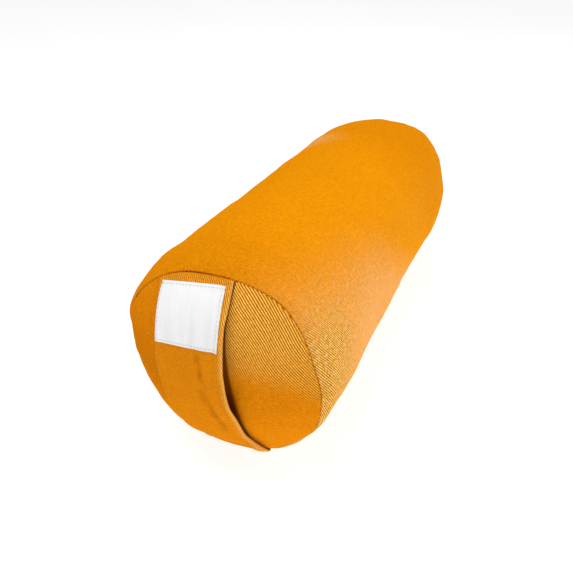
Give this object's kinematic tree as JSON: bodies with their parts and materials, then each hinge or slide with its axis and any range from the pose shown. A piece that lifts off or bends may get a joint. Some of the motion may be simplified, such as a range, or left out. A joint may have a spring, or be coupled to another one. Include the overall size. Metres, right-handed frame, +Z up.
{
  "type": "round yoga bolster",
  "caption": "Small round yoga bolster: a firm filled tube of orange cotton twill with domed end panels, a wide hand band across one end and a bare white label on the band.",
  "frame": {"origin": "under the middle of the whole object, on the surface it lies on", "axes": "+Z up, +Y along the bolster's long axis from the banded end to the plain end, +X to the right when facing the banded end"},
  "size_m": [0.1644, 0.4188, 0.1603],
  "materials": {
    "side_twill": "marigold orange cotton twill, matt with a soft pale sheen at grazing angles",
    "panel_twill": "the same twill, its diagonal ribs plain to see",
    "band_twill": "two layers of the same twill with turned-in edges, softly creased",
    "label_weave": "bare white satin-woven label, slightly rippled"
  },
  "bodies": {
    "root": {"filled_body": "side_twill", "end_panel_front": "panel_twill", "end_panel_back": "panel_twill", "handle_band": "band_twill", "label": "label_weave"}
  },
  "joints": []
}
